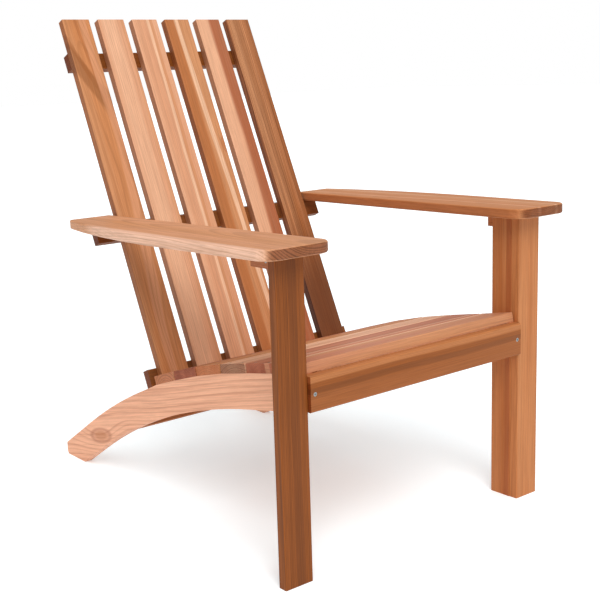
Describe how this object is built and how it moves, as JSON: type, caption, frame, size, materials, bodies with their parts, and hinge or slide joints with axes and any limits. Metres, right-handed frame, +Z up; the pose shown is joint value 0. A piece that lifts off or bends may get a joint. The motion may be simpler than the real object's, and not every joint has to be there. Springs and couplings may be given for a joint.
{
  "type": "adirondack chair",
  "caption": "Low wooden garden chair with a raked slatted back, a sloping slat seat, wide flat arms and curved rear legs.",
  "frame": {"origin": "bottom centre of the bounding box, on the floor midway between the arms' front ends and the rear feet", "axes": "+Z up, the sitter faces -Y, +X to the right of a person who looks at the chair's front; X = 0 is the plane of symmetry"},
  "size_m": [0.8134, 0.9839, 1.0426],
  "materials": {
    "cedar_light": "satin",
    "cedar_golden": "satin",
    "cedar_red": "satin",
    "cedar_brown": "satin",
    "hardwood_dowel": "satin",
    "screw_steel": "satin"
  },
  "bodies": {
    "root": {"back_slat_1": "cedar_brown", "back_slat_2": "cedar_light", "back_slat_3": "cedar_light", "back_slat_4": "cedar_golden", "back_slat_5": "cedar_light", "back_slat_6": "cedar_brown", "back_rail_upper": "cedar_brown", "back_rail_middle": "cedar_brown", "back_rail_lower": "cedar_brown", "seat_slat_1": "cedar_light", "seat_slat_2": "cedar_red", "seat_slat_3": "cedar_light", "seat_slat_4": "cedar_golden", "seat_slat_5": "cedar_red", "seat_slat_6": "cedar_light", "front_apron": "cedar_red", "rear_stretcher": "cedar_brown", "stringer_left": "cedar_golden", "stringer_right": "cedar_golden", "front_leg_left": "cedar_brown", "front_leg_right": "cedar_golden", "leg_return_left": "cedar_brown", "leg_return_right": "cedar_red", "arm_cleat_left": "cedar_brown", "arm_cleat_right": "cedar_brown", "arm_left": "cedar_light", "arm_right": "cedar_golden", "apron_screws": "screw_steel", "seat_slat_screws": "screw_steel", "back_slat_screws": "screw_steel", "stringer_screws": "screw_steel", "cleat_screws": "screw_steel", "arm_front_screws": "screw_steel", "arm_rear_screws": "screw_steel", "rail_screws": "screw_steel", "leg_dowels": "hardwood_dowel", "stretcher_dowels": "hardwood_dowel"}
  },
  "joints": []
}
